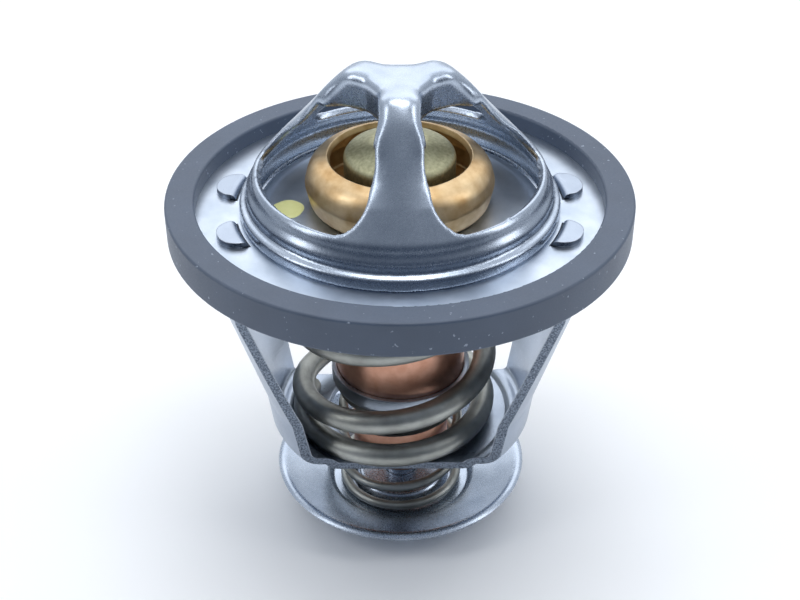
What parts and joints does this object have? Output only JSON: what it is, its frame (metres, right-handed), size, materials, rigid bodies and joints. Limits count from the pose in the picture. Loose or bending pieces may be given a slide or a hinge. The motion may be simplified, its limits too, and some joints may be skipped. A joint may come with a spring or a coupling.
{
  "type": "engine coolant thermostat, wax type with bypass disc",
  "caption": "Wax-driven coolant valve with a rubber-rimmed flange, three-arm bridge, cage with return spring, copper wax cup and a sprung bypass disc.",
  "frame": {"origin": "centre of the rubber seal ring, on the valve's axis at the ring's mid-plane", "axes": "+Z along the axis from the wax cup to the bridge, -Y to the front arm of the bridge, +X to the right"},
  "size_m": [0.067, 0.067, 0.0735],
  "materials": {
    "rubber": "moulded rubber, matt",
    "plated_steel": "pressed steel, zinc plated",
    "spring_steel": "drawn spring wire",
    "polished_steel": "ground and polished steel",
    "brass": "turned and drawn brass",
    "dull_brass": "dull greenish brass",
    "copper": "drawn copper",
    "wax": "expanding wax with copper powder"
  },
  "bodies": {
    "frame": {"seal_ring": "rubber", "flange_plate": "plated_steel", "bridge": "plated_steel", "cage": "plated_steel", "piston": "polished_steel", "main_spring": "spring_steel"},
    "element": {"valve_plate": "plated_steel", "brass_collar": "brass", "guide": "brass", "guide_seal": "rubber", "guide_cap": "dull_brass", "wax_cup": "copper", "rubber_boot": "rubber", "wax_fill": "wax", "spring_seat": "plated_steel", "bypass_stem": "polished_steel", "stem_clip": "spring_steel", "bypass_spring": "spring_steel"},
    "bypass": {"bypass_disc": "plated_steel"}
  },
  "joints": [
    {"name": "valve_slide", "type": "slide", "parent": "frame", "child": "element", "axis": [0, 0, -1], "range_m": [0, 0.008], "stiffness_N_per_m": 6000, "springref_m": -0.01, "deforming": ["main_spring"]},
    {"name": "bypass_slide", "type": "slide", "parent": "element", "child": "bypass", "axis": [0, 0, 1], "range_m": [0, 0.004], "stiffness_N_per_m": 4000, "springref_m": -0.005, "deforming": ["bypass_spring"]}
  ]
}
